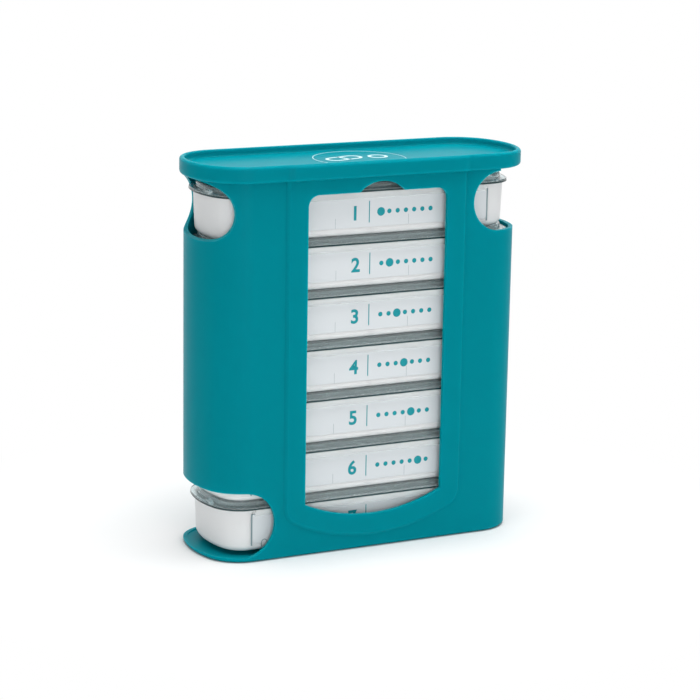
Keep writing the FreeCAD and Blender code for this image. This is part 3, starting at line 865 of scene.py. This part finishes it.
def nick_outline(centre):
    """A finger nick: a line of even width round an arch on two legs."""
    sizes = drawer_sizes()
    turn = np.linspace(0, pi, num=13)
    sides = []
    for radius in (sizes.nick_radius, sizes.nick_radius - sizes.seam_line):
        arch = radius * np.column_stack([np.cos(turn), np.sin(turn)])
        sides.append(np.concatenate([[[radius, -sizes.nick_leg]], arch,
                                     [[-radius, -sizes.nick_leg]]]))
    outer, inner = sides
    return np.concatenate([outer, inner[::-1]]) + centre


def label_seams(day, material):
    """Painted shade in the fine seams of the label's holder: grey lines along its sides and its
    top, two ticks and a nick.
    """
    sizes = drawer_sizes()
    node = f"day{day}_label"
    low, high, shift = drawer_place(day)
    left, right = (shift + side * sizes.seam_reach for side in (-1, 1))
    foot = low + sizes.cup_round
    top = high - sizes.flange_height - sizes.label_gap
    half_side = sizes.seam_line * 0.8
    top_line = sizes.seam_line * 0.7
    tick_line = sizes.seam_line / 3
    tick_foot = low + sizes.tick_foot
    tick_top = tick_foot + sizes.tick_height
    ticks = [shift + side * sizes.tick_reach for side in (-1, 1)]
    shapes = [
        *(strip(x - half_side, x + half_side, foot, top) for x in (left, right)),
        strip(left, right, top - top_line, top),
        *(strip(x, x + tick_line, tick_foot, tick_top) for x in ticks),
        nick_outline([shift - sizes.nick_reach, tick_foot]),
    ]
    far = sizes.label_film + SHIM
    parts = [front_plate("seam", shape, 0.0, far) for shape in shapes]
    piece(f"{node}_seams", joined(f"{node}_seams", parts), BODY_OF[node], material)


def figure_mesh(text, height):
    """A printed figure as a flat mesh of the built-in typeface, emboldened."""
    share_of_size = 0.69
    boldness = 0.04
    curve = bpy.data.curves.new("figure", "FONT")
    curve.body = text
    curve.size = height / share_of_size
    curve.offset = height * boldness
    curve.align_x = "CENTER"
    curve.resolution_u = 6
    item = new_object("figure", curve)
    bpy.context.view_layer.update()
    mesh = bpy.data.meshes.new_from_object(item)
    bpy.data.objects.remove(item)
    bpy.data.curves.remove(curve)
    return mesh


def label_print(day, material):
    """A day's printing: its number, a fine bar, and seven dots of which its own is large."""
    sizes = drawer_sizes()
    node = f"day{day}_label"
    low, _, shift = drawer_place(day)
    base = low + sizes.figure_foot
    middle = base + sizes.figure_height / 2
    near = sizes.label_film - SHIM
    far = sizes.label_film + sizes.ink_film
    figure = figure_mesh(str(day), sizes.figure_height)
    flat = np.zeros(len(figure.vertices) * 3)
    figure.vertices.foreach_get("co", flat)
    flat = flat.reshape(-1, 3)[:, :2] + [shift - sizes.figure_reach, base]
    figure.vertices.foreach_set("co", on_front(flat, far).ravel())
    bar_left = shift - 1.25 * MM
    bar_foot = base - 1.2 * MM
    bar = strip(bar_left, bar_left + sizes.bar_line, bar_foot, bar_foot + sizes.bar_height)
    parts = [figure, front_plate("bar", bar, near, far)]
    small = 0.55
    for number in DAYS:
        radius = sizes.dot_size / 2 * (1 if number == day else small)
        centre = (shift + sizes.dot_reach + (number - 1) * sizes.dot_pitch, middle)
        parts.append(front_plate("dot", ellipse(centre, radius, radius, count=32), near, far))
    piece(f"{node}_print", joined(f"{node}_print", parts), BODY_OF[node], material)


# --------------------------------------------------------------------------------------- the stage

def soft_lamp(name, place, target, width, height, power):
    """A large soft area lamp that faces a point."""
    data = bpy.data.lights.new(name, "AREA")
    data.shape = "RECTANGLE"
    data.size = width
    data.size_y = height
    data.energy = power
    lamp = new_object(name, data)
    lamp.location = place
    lamp.rotation_euler = (Vector(target) - Vector(place)).to_track_quat("-Z", "Y").to_euler()


def seen_directly(tree):
    """1 where the camera, a mirror or clear plastic looks at a shader, and 0 where the shader
    lights something else."""
    path = add(tree, "ShaderNodeLightPath").outputs
    seen = add(tree, "ShaderNodeMath", {0: path["Is Camera Ray"], 1: path["Is Glossy Ray"]},
               operation="MAXIMUM").outputs[0]
    return add(tree, "ShaderNodeMath", {0: seen, 1: path["Is Transmission Ray"]},
               operation="MAXIMUM").outputs[0]


def white_world():
    """A world that lights evenly at a plain level and looks white."""
    world = bpy.data.worlds.new("Studio")
    bpy.context.scene.world = world
    world.use_nodes = True
    tree = world.node_tree
    tree.nodes.clear()
    white = (1.0, 1.0, 1.0, 1.0)
    light = add(tree, "ShaderNodeBackground", Color=white, Strength=0.42)
    backdrop = add(tree, "ShaderNodeBackground", Color=white, Strength=1.0)
    mix = add(tree, "ShaderNodeMixShader", {"Fac": seen_directly(tree), 1: light.outputs[0],
                                            2: backdrop.outputs[0]})
    add(tree, "ShaderNodeOutputWorld", {"Surface": mix.outputs[0]})


def studio_floor():
    """A wide pale floor that keeps the organizer's shadow. Where it is looked at directly, it
    fades to plain white with the distance from the organizer."""
    half = 3.0
    mesh = bpy.data.meshes.new("floor")
    mesh.from_pydata([(-half, -half, 0), (half, -half, 0), (half, half, 0), (-half, half, 0)], [],
                     [(0, 1, 2, 3)])
    material = plastic_surface("Painted_floor_matt", finish().floor, tone=(0.5, 0.004),
                               gloss=(0.2, 0.85, 0.9), grain=(5 * MM, 0.01 * MM),
                               Specular_IOR_Level=0.1)
    tree = material.node_tree
    place = add(tree, "ShaderNodeTexCoord").outputs["Object"]
    distance = add(tree, "ShaderNodeVectorMath", {0: place}, operation="LENGTH").outputs["Value"]
    fade = add(tree, "ShaderNodeMapRange", {"Value": distance}, interpolation_type="SMOOTHSTEP",
               From_Min=70 * MM, From_Max=160 * MM)
    share = add(tree, "ShaderNodeMath", {0: fade.outputs["Result"], 1: seen_directly(tree)},
                operation="MULTIPLY")
    white = add(tree, "ShaderNodeEmission", Strength=1.0)
    mix = add(tree, "ShaderNodeMixShader", {"Fac": share.outputs[0],
                                            1: tree.nodes["Principled BSDF"].outputs[0],
                                            2: white.outputs[0]})
    tree.links.new(mix.outputs[0], tree.nodes["Material Output"].inputs["Surface"])
    mesh.materials.append(material)
    floor = new_object("studio_floor", mesh)
    gap = 0.2 * MM
    floor.location.z = CAD_LOW.z - gap


def camera():
    """A long lens at the height of a person's eyes who looks down at the organizer on a table."""
    yaw, pitch, roll = 0.464, 0.229, 0.017
    distance = 0.8395
    target = Vector((0.00055, 0, 0.06623))
    focal_pixels = 2378
    frame_pixels = 700
    ahead = Vector((sin(yaw) * cos(pitch), cos(yaw) * cos(pitch), -sin(pitch)))
    level = Vector((cos(yaw), -sin(yaw), 0))
    above = level.cross(ahead)
    right = cos(roll) * level + sin(roll) * above
    up = -sin(roll) * level + cos(roll) * above
    data = bpy.data.cameras.new("Camera")
    data.sensor_width = 36
    data.lens = focal_pixels / frame_pixels * data.sensor_width
    data.clip_start = 0.01
    data.clip_end = 20
    item = new_object("Camera", data)
    turn = Matrix((right, up, -ahead)).transposed().to_4x4()
    item.matrix_world = Matrix.Translation(target - ahead * distance) @ turn
    bpy.context.scene.camera = item


# --------------------------------------------------------------------------------------- operators

class ORGANIZER_OT_case(bpy.types.Operator):
    """Makes the case, its cap and the cap's emblem"""
    bl_idname = "organizer.case"
    bl_label = "Case and cap"

    def execute(self, context):
        plastic = moulded_abs()
        case_moulding(plastic)
        cap_moulding(plastic)
        cap_emblem(printing("Foil_print_pale", finish().emblem))
        return {"FINISHED"}


class ORGANIZER_OT_cups(bpy.types.Operator):
    """Makes the seven divided cups"""
    bl_idname = "organizer.cups"
    bl_label = "Cups"

    def execute(self, context):
        plastic = moulded_polypropylene()
        for day in DAYS:
            cup_moulding(day, plastic)
        return {"FINISHED"}


class ORGANIZER_OT_lids(bpy.types.Operator):
    """Makes the seven clear lids"""
    bl_idname = "organizer.lids"
    bl_label = "Lids"

    def execute(self, context):
        skin = moulded_polystyrene("Moulded_polystyrene_lid", finish().lid, frost=0.19)
        # painted light: a whiter, more frosted copy of the lid's polystyrene, so the rails' band
        # shows lighter
        rail = moulded_polystyrene("Polystyrene_rail_painted_light", finish().rail, frost=0.3)
        # painted shade for the dark band round each lid's edge
        dark = sheet_edge()
        for day in DAYS:
            lid_moulding(day, skin)
            lid_rails(day, rail)
            lid_line(day, dark)
        return {"FINISHED"}


class ORGANIZER_OT_labels(bpy.types.Operator):
    """Makes the seven labels and their printing"""
    bl_idname = "organizer.labels"
    bl_label = "Labels"

    def execute(self, context):
        film = printed_film()
        ink = printing("Screen_print_teal", finish().ink)
        # painted shade in the label holder's seams, drawn with the ink's surface
        seam = printing("Seam_shadow_grey", finish().line)
        for day in DAYS:
            label_film(day, film)
            label_seams(day, seam)
            label_print(day, ink)
        return {"FINISHED"}


class ORGANIZER_OT_stage(bpy.types.Operator):
    """Makes the floor, the lamps, the world and the camera"""
    bl_idname = "organizer.stage"
    bl_label = "Stage"

    def execute(self, context):
        context.scene.view_settings.view_transform = "Standard"
        white_world()
        studio_floor()
        centre = (0, 0, 0.07)
        soft_lamp("Overhead", (0.05, -0.1, 1.1), centre, width=0.9, height=0.9, power=13)
        soft_lamp("Key_front", (-0.2, -1.0, 0.2), centre, width=0.5, height=0.4, power=2.5)
        soft_lamp("Fill_left", (-0.9, -0.6, 0.3), centre, width=0.5, height=0.7, power=0.4)
        camera()
        return {"FINISHED"}


class ORGANIZER_PT_panel(bpy.types.Panel):
    """Lists the organizer's pieces, sizes and colours"""
    bl_label = "Pill Drawer Organizer"
    bl_idname = "ORGANIZER_PT_panel"
    bl_space_type = "VIEW_3D"
    bl_region_type = "UI"
    bl_category = "Organizer"

    def draw(self, context):
        layout = self.layout
        for operator in OPERATORS:
            layout.operator(operator.bl_idname)
        for name, group in GROUPS.items():
            box = layout.box()
            box.label(text=group.__doc__)
            for key in group.__annotations__:
                box.prop(getattr(context.scene, name), key)


OPERATORS = (ORGANIZER_OT_case, ORGANIZER_OT_cups, ORGANIZER_OT_lids, ORGANIZER_OT_labels,
             ORGANIZER_OT_stage)
GROUPS = {
    "organizer_outline": OrganizerOutline,
    "organizer_case": OrganizerCase,
    "organizer_drawer": OrganizerDrawer,
    "organizer_finish": OrganizerFinish,
}


def register():
    for group in GROUPS.values():
        bpy.utils.register_class(group)
    for name, group in GROUPS.items():
        setattr(bpy.types.Scene, name, PointerProperty(type=group))
    for entry in (*OPERATORS, ORGANIZER_PT_panel):
        bpy.utils.register_class(entry)


def unregister():
    for entry in (ORGANIZER_PT_panel, *reversed(OPERATORS)):
        bpy.utils.unregister_class(entry)
    for name in GROUPS:
        delattr(bpy.types.Scene, name)
    for group in reversed(GROUPS.values()):
        bpy.utils.unregister_class(group)


def main():
    """Builds every piece and the stage."""
    register()
    bpy.ops.organizer.case()
    bpy.ops.organizer.cups()
    bpy.ops.organizer.lids()
    bpy.ops.organizer.labels()
    bpy.ops.organizer.stage()
    bpy.context.view_layer.update()


if __name__ == "__main__":
    main()
